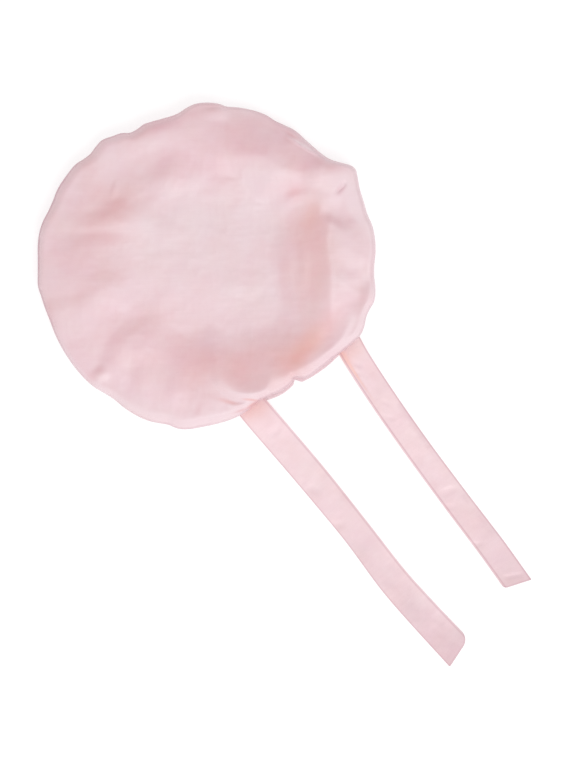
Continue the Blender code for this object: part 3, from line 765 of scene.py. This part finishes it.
# Each fold runs from one end to the other with a bow to its left, reaches so far to each side,
# and rises and dies out over those shares of its length. A height below zero is a groove
folds = columns("fromX fromY toX toY bow left right height round rise fall", [
    # upper right
    (90, 96, 154, 94, 2, 14, 26, 5.2, 0.3, 0.35, 0.6),  # bright corner
    (76, 136, 122, 102, -2, 4, 26, 2.2, 0.1, 0.3, 0.4),  # slope before the back layer
    (108, 55, 151, 41, 1, 24, 10, -3.0, 0.4, 0.3, 0.5),  # groove below the corner
    (112, 60, 162, 35, 4, 24, 17, -2.0, 0.5, 0.35, 0.45),
    (-12, 156, 30, 152, 0, 5, 14, 2.0, 0.5, 0.5, 0.5),  # light blob at the top
    (66, 24, 112, 62, 0, 22, 30, -1.6, 0.5, 0.35, 0.3),  # valley where the dark slope ends
    (72, 63, 114, 65, 3, 12, 10, 1.6, 0.4, 0.3, 0.4),
    # right
    (124, 14, 176, -28, 0, 18, 16, -3.0, 0.4, 0.4, 0.4),
    (146, -4, 151, -54, 0, 12, 24, -3.5, 0.5, 0.4, 0.4),  # dent inside the rim
    (121, 62, 123, -66, 0, 5, 24, 1.8, 0.1, 0.4, 0.5),  # crisp edge of the right ridge
    (92, 30, 96, -34, 0, 8, 8, 0.8, 0.4, 0.5, 0.5),  # light streak down the right slope
    (82, -106, 150, -46, -7, 12, 8, 2.0, 0.05, 0.1, 0.3),  # where the bright roll starts
    # left
    (-146, 32, -18, 120, 16, 28, 30, -2.3, 0.5, 0.5, 0.35),  # trough inside the rim
    (-126, 29, -62, 64, 4, 17, 32, 3.0, 0.3, 0.5, 0.5),  # darkest slope beyond the trough
    (-106, 31, -42, 56, 2, 18, 40, 2.2, 0.4, 0.4, 0.4),
    (-97, 69, -86, 92, 0, 3, 8, 1.0, 0.2, 0.4, 0.5),  # short straight crease
    (-150, 39, -66, 40, 0, 18, 9, 1.2, 0.4, 0.3, 0.5),  # first crosswise ridge
    (-154, 14, -62, 18, 0, 20, 60, 2.8, 0.8, 0.4, 0.6),  # second crosswise ridge
    (-140, -28, -64, -22, 0, 20, 26, 2.2, 0.5, 0.5, 0.5),
    (-170, -54, -90, -28, -4, 18, 30, 2.6, 0.5, 0.3, 0.6),
    (-128, -36, -10, 22, 0, 28, 28, 1.2, 0.7, 0.4, 0.5),  # long soft ridge to the middle
    (-76, -74, 20, 22, 0, 26, 44, 1.4, 0.7, 0.4, 0.5),
    # lower left
    (-106, -122, -42, -46, 8, 18, 24, 2.6, 0.6, 0.3, 0.6),
    (-62, -136, -48, -56, 4, 16, 24, 1.8, 0.6, 0.3, 0.6),
    (-96, -84, -28, -76, 0, 34, 20, 3.2, 0.6, 0.5, 0.5),
    (-34, -146, -26, -76, 0, 18, 16, 1.5, 0.6, 0.3, 0.7),
    (-118, -112, -98, -100, 0, 9, 9, 2.4, 0.5, 0.5, 0.5),
    # top left
    (-60, 71, -4, 91, 6, 24, 24, 3.1, 0.6, 0.5, 0.5),
    (-24, 80, 58, 82, 0, 20, 20, 2.0, 0.5, 0.4, 0.5),
    (-62, 46, -4, 34, -6, 14, 20, 1.2, 0.5, 0.5, 0.5),
    (0, 130, 14, 70, 0, 16, 30, 1.2, 0.5, 0.5, 0.5),
    (-96, 116, -14, 134, 4, 14, 18, 1.6, 0.5, 0.4, 0.4),
    (6, -14, 64, -22, -3, 20, 14, 1.0, 0.6, 0.4, 0.4),
])

# Creases that lie exactly in their place, with the same columns
creases = columns("fromX fromY toX toY bow left right height round rise fall", [
    (2, -111, 66, -123, -10.5, 22, 6, 3.0, 0.05, 0.2, 0.1),  # the bright roll, drawn in to the left tie
    (14, -124, 52, -133.5, -3.5, 3, 3.5, 1.0, 0.2, 0.4, 0.3),
    (18, -138, 52, -135, -2, 4, 4, 1.4, 0.2, 0.4, 0.3),
    (24, -148, 52, -136.5, -1, 1.8, 3, 0.9, 0.2, 0.3, 0.3),
    (75.5, 131.5, 114, 108, -1, 5, 1.6, 1.5, 0.05, 0.15, 0.3),  # turned edge before the back layer
    (126, 70.5, 139.5, 85, 0, 3, 4, -2.6, 0.2, 0.4, 0.4),  # short crease in the corner
])

# Random crumples: hill size, height, and how sharp, from 0 for a hill to 1 for a crease
crumples = columns("size height sharp", [(46, 0.9, 0.0), (24, 0.5, 0.3), (13, 0.22, 0.6), (7, 0.10, 1.0)])

# Painted light and shade over the shade painted from the lean: deep above zero is painted shade in deeper
# pink, below zero painted light, and warm is painted warm bounce light
tints = columns("x y width length heading deep warm", [
    # right
    (104, 10, 22, 60, 90, 0.0, 0.35),
    (98, -82, 12, 32, 46, -0.15, 0.7),
    (105, 50, 8, 14, 80, -0.3, 0.3),
    (60, -87, 9, 18, 0, 0.2, 0.1),
    (20, -92, 9, 30, 0, 0.2, 0.0),
    (28, -99, 18, 62, 4, -0.18, 0.24),
    (76, -10, 6, 28, 90, 0.3, 0.0),
    (90, -8, 8, 30, 90, -0.1, 0.0),
    (122, -57, 5, 16, 90, 0.35, 0.0),
    (130, -12, 6, 10, 0, -0.25, 0.0),
    (158, -18, 4, 9, 90, -0.3, 0.0),
    (143, -50, 6, 10, 90, -0.35, 0.0),
    (112, -84, 5, 26, 42, -0.25, 0.0),
    (62, -110, 8, 20, 25, -0.3, 0.0),
    (90, -54, 14, 20, 0, -0.22, 0.0),
    # upper right
    (151, 52, 7, 16, -62, -0.7, 0.0),
    (142, 80, 7, 12, -65, -0.25, 0.0),
    (112, 62, 4, 9, 90, -0.2, 0.0),
    (88, 73, 8, 8, 0, 0.25, 0.1),
    (80, 52, 9, 18, 0, -0.15, 0.0),
    (55, 87, 9, 14, 0, -0.2, 0.0),
    (30, 67, 7, 12, 60, 0.28, 0.0),
    (93, 97, 9, 10, 0, 0.2, 0.0),
    (22, 128, 14, 18, 0, 0.2, 0.0),
    (22, 149, 7, 11, 0, -0.25, 0.0),
    (-16, 150, 6, 9, 0, 0.2, 0.0),
    (94, 120.5, 1.1, 17, -32, -0.7, -0.2),
    (84, 134, 3, 10, -38, -0.2, 0.1),
    (40, 153, 5, 26, -12, -0.25, 0.0),
    (118, 105, 4, 12, -28, -0.25, 0.0),
    (124, 95, 4, 15, 3, 0.3, 0.0),
    # folds drawn in to the left tie
    (22, -135.5, 1.8, 11, -16, 0.25, 0.3),
    (43, -133, 1.2, 8, -6, 0.5, 0.7),
    (45.5, -138, 1.5, 6, 34, 0.9, 0.6),
    (34, -143.8, 1.4, 7, 20, 0.8, 0.1),
    (30, -140.3, 1.8, 8, -4, -0.5, 0.0),
    (38, -145.5, 1.2, 6, 42, -0.5, 0.0),
    (14, -119, 4, 10, -38, -0.5, 0.0),
    (21, -124, 3, 8, -38, -0.4, 0.0),
    (23, -130, 2.2, 9, -42, -0.35, 0.0),
    (36, -129.5, 2.5, 14, -6, -0.35, -0.3),
    (36, -112, 10, 26, 0, -0.2, 0.2),
    (-9, -144, 4, 7, 70, 0.35, 0.0),
    (-35, -149, 5, 18, -10, -0.12, 0.0),
    # middle
    (38, -24, 26, 38, 0, -0.22, 0.0),
    (-66, 6, 16, 24, 0, -0.2, 0.0),
    (8, 22, 8, 20, 25, 0.15, 0.0),
    # left
    (-104, 59, 7, 14, 30, -0.2, 0.0),
    (-55, -128, 7, 10, 0, 0.25, 0.0),
    (-117, -113, 5, 8, 0, 0.3, 0.0),
    (-157, -50, 5, 12, 90, 0.3, 0.0),
    (-95, -13, 7, 12, 0, 0.2, 0.0),
    (-38, -106, 12, 26, 0, -0.18, 0.0),
    (-52, -52, 14, 18, 0, 0.22, 0.0),
    (-102, -40, 10, 14, 0, 0.14, 0.0),
    (-62, -94, 8, 14, 0, 0.25, 0.0),
    (-146, -84, 6, 14, -55, -0.25, 0.0),
    (-118, 90, 11, 20, 55, 0.2, 0.0),
    (-96, 125, 5, 14, 20, -0.2, 0.0),
    (-52, 133, 5, 22, 18, 0.3, 0.0),
    (-28, 86, 9, 12, 0, 0.25, 0.0),
    (-12, 99, 8, 12, 0, 0.2, 0.0),
    (-88, 27, 9, 18, 0, 0.42, 0.0),
    (-86, 46, 5, 14, 0, 0.2, 0.0),
    (-98, 56, 20, 30, 20, 0.0, 0.3),
    (-110, 10, 30, 40, 0, 0.3, 0.05),
])

# Painted light in the tone: where the pink is painted richer and lighter than its painted shade alone gives,
# or greyer, as on the flat middle
casts = columns("x y width length heading rich", [
    (0, 36, 38, 88, 8, -0.15),
    (60, -30, 30, 40, 60, -0.07),
    (-68, -80, 40, 80, -24, 0.12),
    (30, -104, 26, 84, 10, 0.04),
    (16, 108, 26, 60, 0, 0.12),
    (84, 74, 12, 16, 0, 0.12),
    (84, 24, 11, 40, 90, 0.09),
    (128, 22, 12, 26, 90, -0.1),
    (132, -44, 14, 26, 60, 0.12),
])


def topHeight(x, y):  # the top sheet over a place measured from the crown's centre
    degrees = np.degrees(np.arctan2(y, x))
    distance = np.hypot(x, y)
    reach = readAround(rim, "reach", degrees)
    crestAt, crest, shoulder, slope, roundness, rolled = (
        readAround(sections, name, degrees)
        for name in ("crestAt", "crest", "shoulder", "slope", "roundness", "edge"))
    outer = np.clip((distance - crestAt) / (reach - crestAt), 0.0, 1.0)
    outside = crest + (shoulder - crest) * outer ** (1.0 + roundness)
    down = distance * np.cos(np.radians(degrees - crown["sagHeading"]))
    floor = crown["floorHeight"] - crown["sagDepth"] * smoothStep(*crown["sag"], down)
    inside = floor + (crest - floor) * foldProfile(np.maximum(crestAt - distance, 0.0) / slope, roundness)
    wanderX, wanderY = (softNoise(x, y, crown["warpSize"], seed) for seed in crown["warpSeeds"])
    level = np.where(distance > crestAt, outside, inside) + foldHeight(creases, x, y)
    level += foldHeight(folds, x + crown["warp"] * wanderX, y + crown["warp"] * wanderY)
    fade = smoothStep(0.0, crown["crumpleFade"], reach - distance)
    level += fade * crumpleHeight(crumples, x, y, crown["crumpleSeed"])
    share = np.clip(1.0 - (reach - distance) / rolled, 0.0, 1.0)
    edge = (1.0 - share ** crown["edgePower"]) ** (1.0 / crown["edgePower"])
    return crown["rimHeight"] + (level - crown["rimHeight"]) * edge


def tieCover(x, y):  # 1 where a tie runs under the crown's cloth
    cover = np.zeros_like(x)
    for table in (leftTie, rightTie):
        run = np.array([table["x"][1] - table["x"][0], table["y"][1] - table["y"][0]])
        run /= np.hypot(*run)
        awayX, awayY = x - table["x"][0], y - table["y"][0]
        side = np.abs(awayX * run[1] - awayY * run[0]) - table["width"][0] / 2.0
        behind = np.maximum(0.0, -(awayX * run[0] + awayY * run[1]))
        fade = smoothStep(crown["tieClear"], 2.0 * crown["tieClear"], np.maximum(side, behind))
        cover = np.maximum(cover, 1.0 - fade)
    return cover


def underHeight(x, y, degrees, span):  # the turned-under sheet: flat, up onto the casing, in gathers
    outside = pastCasing(x, y)
    sewn = outside + crown["seamInset"]
    cover = tieCover(x, y)
    climb = np.maximum(cover, 1.0 - smoothStep(*crown["climb"], outside))
    level = (casing["height"] + casing["gap"]) * climb + (ribbon["thickness"] + crown["tieHeadroom"]) * cover
    pleat = crown["pleatHeight"] * np.minimum(1.0, span / crown["pleatSpan"])
    pleat *= 1.0 - crown["pleatSwell"] * (0.5 + 0.5 * np.cos(np.radians(crown["pleatSwells"] * degrees)))
    pleat *= 0.5 - 0.5 * np.cos(np.radians(crown["pleats"] * degrees))
    pleat *= 1.0 - smoothStep(0.0, 1.0, sewn / span)
    gather = crown["gatherHeight"] * (1.0 - smoothStep(*crown["gatherFade"], sewn))
    gather *= waves(crown["gathers"], degrees, crown)
    free = crown["pleatPressed"] + (1.0 - crown["pleatPressed"]) * smoothStep(0.0, crown["sewnFade"], sewn)
    return level + free * (pleat + gather)


def paleRim(x, y):  # 1 at the rolled edge where both layers show, painted paler and greyer there
    degrees = np.degrees(np.arctan2(y, x))
    inset = readAround(rim, "reach", degrees) - np.hypot(x, y)
    (begin, end), fade = crown["pale"], crown["paleFade"]
    shown = smoothStep(begin, begin + fade, degrees) * (1.0 - smoothStep(end - fade, end, degrees))
    inner, outer = ((1.0 + side * crown["paleSoft"]) * crown["paleWidth"] for side in (-1.0, 1.0))
    return shown * (1.0 - smoothStep(inner, outer, inset))


def rimShadeLine(flat, height):  # how strong the painted dark line of shade is where the satin turns under
    degrees = np.degrees(np.arctan2(flat[:, 1], flat[:, 0]))
    past = np.hypot(flat[:, 0], flat[:, 1]) - readAround(rim, "reach", degrees)
    line = readAround(sections, "line", degrees) * smoothStep(*crown["line"], past)
    return line * smoothStep(-crown["lineBelow"], crown["lineAbove"], height - crown["rimHeight"])


# painted shade: deeper pink where the top leans away from the lamp, with the painted tints, less on the pale
# rim
def crownPaintedShade(x, y):
    distance = np.hypot(x, y)
    reach = readAround(rim, "reach", np.degrees(np.arctan2(y, x)))
    leans = []
    for inset in crown["paintedShadeRims"]:
        inner = np.minimum(1.0, (reach - inset) / np.maximum(distance, 1.0))
        leans.append(leanAt(topHeight, x * inner, y * inner))
    paintedShade = np.clip(crown["paintedShadeFrom"] + crown["paintedShadePer"] * np.minimum(*leans), 0.0, 1.0)
    return np.clip(paintedShade + tintAt(tints, "deep", x, y) + crown["paleRimShade"] * paleRim(x, y), 0.0, 1.0)


def crownGrid():
    # Places over the unit disc: a rounded square grid in the middle, then rings out to the rim
    line = np.linspace(-1.0, 1.0, crown["coreCells"] + 1)
    u, v = np.meshgrid(line, line)
    discU, discV = u * np.sqrt(1.0 - v * v / 2.0), v * np.sqrt(1.0 - u * u / 2.0)
    square = (1.0 - crown["coreRound"]) * crown["coreSquare"]
    coreU, coreV = (crown["coreShare"] * (square * straight + crown["coreRound"] * disc)
                    for straight, disc in ((u, discU), (v, discV)))
    edgeU, edgeV = borderOf(coreU), borderOf(coreV)
    degrees = -135.0 + 360.0 * np.arange(len(edgeU)) / len(edgeU)
    shares = 1.0 - (1.0 - np.arange(1, crown["rings"] + 1) / crown["rings"]) ** crown["ringCrowding"]
    ringU = edgeU + (np.cos(np.radians(degrees)) - edgeU) * shares[:, None]
    ringV = edgeV + (np.sin(np.radians(degrees)) - edgeV) * shares[:, None]
    return coreU, coreV, ringU, ringV, degrees


def liftTop(u, v):  # from the unit disc to the top of the crown, and where that is seen from above
    reach = readAround(rim, "reach", np.degrees(np.arctan2(v, u)))
    x, y = u * reach, v * reach
    place = np.stack([x + crownCentre[0], y + crownCentre[1], topHeight(x, y)], axis=-1)
    return place, np.stack([x, y], axis=-1)


def turnUnder(rimPlace, rimFlat, degrees):  # rings round the turn of the rim and inwards to the sewn edge
    start = rimPlace[:, :2]
    sewn = aroundCasing(mouthReach(degrees) - crown["seamInset"], degrees)
    inward = sewn - start
    span = np.hypot(inward[:, 0], inward[:, 1])
    inward /= span[:, None]
    turn = np.minimum(crown["rimTurn"], span / 2.0)
    turned = start + inward * turn[:, None]
    floor = underHeight(turned[:, 0], turned[:, 1], degrees, span)
    out = rimFlat / np.hypot(rimFlat[:, 0], rimFlat[:, 1])[:, None]
    rings, flat = [], []
    for i in range(1, crown["turnRings"] + 1):
        arc = math.radians(90.0 * i / crown["turnRings"])
        place = start + inward * (turn * (1.0 - math.cos(arc)))[:, None]
        height = crown["rimHeight"] + (floor - crown["rimHeight"]) * math.sin(arc)
        rings.append(np.column_stack([place, height]))
        flat.append(rimFlat + out * (turn * arc)[:, None])
    for i in range(1, crown["underRings"] + 1):
        share = i / crown["underRings"]
        place = turned + (sewn - turned) * share
        rings.append(np.column_stack([place, underHeight(place[:, 0], place[:, 1], degrees, span)]))
        flat.append(rimFlat + out * (turn * math.pi / 2.0 + (span - turn) * share)[:, None])
    return np.array(rings), np.array(flat)


def pucker(rings, flat, degrees):  # draws the side in, but leaves the line of the rim itself where it is
    reach = readAround(rim, "reach", degrees)
    inset = reach - np.hypot(flat[..., 0], flat[..., 1])
    above = rings[..., 2] - crown["rimHeight"]
    depth = crown["puckerDepth"] * smoothStep(0.0, crown["puckerFree"], np.abs(above))
    depth *= np.where(above > 0.0, crown["puckerAbove"], 1.0)
    depth *= 1.0 - smoothStep(*crown["puckerInside"], inset)
    depth *= 1.0 - smoothStep(*crown["puckerUnder"], -inset)
    out = flat[-1] / np.hypot(flat[-1][:, 0], flat[-1][:, 1])[:, None]
    place = out * (reach + crown["puckerSlant"] * rings[..., 2])[..., None]
    drawn = np.zeros_like(inset)
    for share, seed in crown["puckerLayers"]:
        hill = softNoise(place[..., 0], place[..., 1], share * crown["puckerSize"], seed)
        drawn += share * (1.0 - np.abs(hill)) ** 2
    rings[..., :2] -= out * (depth * drawn)[..., None]


def discFaces(shape, rings, first):  # quads over a middle grid and the rings round it, and the last ring
    grid = np.arange(shape[0] * shape[1]).reshape(shape) + first
    border = borderOf(grid)
    outer = np.arange(rings * len(border)).reshape(rings, -1) + first + grid.size
    loops = np.concatenate([[border], outer])
    closed = np.concatenate([loops, loops[:, :1]], axis=1)
    return np.concatenate([quadsOf(grid), quadsOf(closed.T)]).tolist(), loops[-1]


def liningPicks(core, rings):  # which points the lining lies behind: a middle grid and rings
    step = crown["liningStep"]
    grid = np.arange(core.shape[0] * core.shape[1]).reshape(core.shape[:2])
    loops = np.arange(rings.shape[0] * rings.shape[1]).reshape(rings.shape[:2]) + grid.size
    kept = [*range(step - 1, crown["rings"], step), *range(crown["rings"] + 1, len(rings), 2), len(rings) - 1]
    return grid[::step, ::step], loops[sorted(set(kept))][:, ::step]


def hemFaces(outer, inner):  # joins so many points of the outside's edge to each one of the lining's
    step = crown["liningStep"]
    faces = []
    for k in range(len(inner)):
        here, there = inner[k], inner[(k + 1) % len(inner)]
        points = [outer[(k * step + i) % len(outer)] for i in range(step + 1)]
        faces.append((here, there, points[step // 2]))
        faces += [(points[i], here if i < step // 2 else there, points[i + 1]) for i in range(step)]
    return faces


def vertexNormals(points, faces):
    data = bpy.data.meshes.new("normals")
    data.from_pydata(points.tolist(), [], faces)
    values = np.empty(points.size)
    data.vertices.foreach_get("normal", values)
    bpy.data.meshes.remove(data)
    return values.reshape(-1, 3)


def makeCrown():
    coreU, coreV, ringU, ringV, degrees = crownGrid()
    core, coreFlat = liftTop(coreU, coreV)
    rings, ringFlat = liftTop(ringU, ringV)
    under, underFlat = turnUnder(rings[-1], ringFlat[-1], degrees)
    rings, ringFlat = np.concatenate([rings, under]), np.concatenate([ringFlat, underFlat])
    pucker(rings, ringFlat, degrees)

    points = np.concatenate([core.reshape(-1, 3), rings.reshape(-1, 3)])
    flat = np.concatenate([coreFlat.reshape(-1, 2), ringFlat.reshape(-1, 2)])
    faces, lastLoop = discFaces(core.shape[:2], len(rings), 0)
    gridPicks, ringPicks = liningPicks(core, rings)
    picks = np.concatenate([gridPicks.ravel(), ringPicks.ravel()])
    lining = points[picks] - vertexNormals(points * mm, faces)[picks] * crown["wall"]
    liningFaces, liningLoop = discFaces(gridPicks.shape, len(ringPicks), len(points))
    faces += [face[::-1] for face in liningFaces] + hemFaces(lastLoop, liningLoop)
    points, flat = np.concatenate([points, lining]), np.concatenate([flat, flat[picks]])

    thing = meshObject("crownCloth", points * mm, faces, crownSilk)
    setUv(thing, flat * mm)
    x, y = points[:, 0] - crownCentre[0], points[:, 1] - crownCentre[1]
    # painted shade, painted warm bounce light, painted richer tone and painted dark edge lines
    setValue(thing, "paintedShade", crownPaintedShade(x, y))
    setValue(thing, "paintedWarmth", np.clip(tintAt(tints, "warm", x, y), 0.0, 1.0))
    setValue(thing, "paintedRichness", tintAt(casts, "rich", x, y))
    setValue(thing, "edge", np.maximum(rimShadeLine(flat, points[:, 2]), crown["paleGrey"] * paleRim(x, y)))
    return thing


crownCloth = makeCrown()
print("crown made:", len(crownCloth.data.vertices), "points")
casingTube = makeCasing()
print("casing made")
casingStitches = makeStitches()
print("stitches made:", len(casingStitches.data.polygons), "faces")
tieLeft = makeTie("tieLeftRibbon", leftTie, leftLook)
tieRight = makeTie("tieRightRibbon", rightTie, rightLook)
print("ties made")


# Stage: a plain pale floor, white all round, one soft light from the lower right. In metres

stage = {
    "floor": "#bcbcbc",
    "floorGlow": 0.58,  # a light table, lit from below as well, so that hardly any shadow shows
    "floorHalf": 8.0,
    "floorLevel": -0.0002,
    "fill": 0.82,
    "keyHeading": lampHeading,
    "keyHeight": 52.0,
    "keyDistance": 5.0,
    "keySize": 3.5,
    "keyPower": 87.0,
    "keyAim": (-0.05, 0.1, 0.0),
    "cameraHeight": 4.0,
    "frameHeight": 0.768,  # what the picture shows from top to bottom
    "sensor": 36.0,
    "aim": (0.0035, 0.001),
}
white = (1.0, 1.0, 1.0, 1.0)


def makeFloor():
    # Opal acrylic over lamps: a dull even white with no gloss
    material, _, shader = newMaterial("opalAcrylic", 1.0, 1.49)
    shader.inputs["Base Color"].default_value = linear(stage["floor"])
    shader.inputs["Specular IOR Level"].default_value = 0.0
    shader.inputs["Emission Color"].default_value = white
    shader.inputs["Emission Strength"].default_value = stage["floorGlow"]
    half, level = stage["floorHalf"], stage["floorLevel"]
    corners = [(-half, -half, level), (half, -half, level), (half, half, level), (-half, half, level)]
    floor = meshObject("floor", corners, [(0, 1, 2, 3)], material)


def makeLights():
    world = bpy.data.worlds.new("white")
    bpy.context.scene.world = world
    world.use_nodes = True
    world.node_tree.nodes["Background"].inputs["Color"].default_value = white
    world.node_tree.nodes["Background"].inputs["Strength"].default_value = stage["fill"]
    light = bpy.data.lights.new("key", "AREA")
    light.shape = "DISK"
    light.size = stage["keySize"]
    light.energy = stage["keyPower"]
    key = bpy.data.objects.new("key", light)
    heading, height = math.radians(stage["keyHeading"]), math.radians(stage["keyHeight"])
    level = math.cos(height)
    toLight = Vector((math.cos(heading) * level, math.sin(heading) * level, math.sin(height)))
    key.location = Vector(stage["keyAim"]) + toLight * stage["keyDistance"]
    key.rotation_euler = toLight.to_track_quat("Z", "Y").to_euler()
    bpy.context.scene.collection.objects.link(key)


def makeCamera():  # straight above, as the photograph was taken
    lens = bpy.data.cameras.new("camera")
    camera = bpy.data.objects.new("camera", lens)
    camera.location = (*stage["aim"], stage["cameraHeight"])
    lens.sensor_width = stage["sensor"]
    lens.lens = stage["sensor"] * stage["cameraHeight"] / stage["frameHeight"]
    lens.clip_end = 100.0
    bpy.context.scene.collection.objects.link(camera)
    bpy.context.scene.camera = camera
    bpy.context.scene.view_settings.view_transform = "Standard"


makeFloor()
makeLights()
makeCamera()
print("stage set")

for thing, node, slot in (
    (crownCloth, "crown", "crown_satin"),
    (casingTube, "band", "band_satin"),
    (tieLeft, "tie_left", "tie_satin"),
    (tieRight, "tie_right", "tie_satin"),
):
    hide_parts(node)
    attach(thing, "root")

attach(casingStitches, "root")
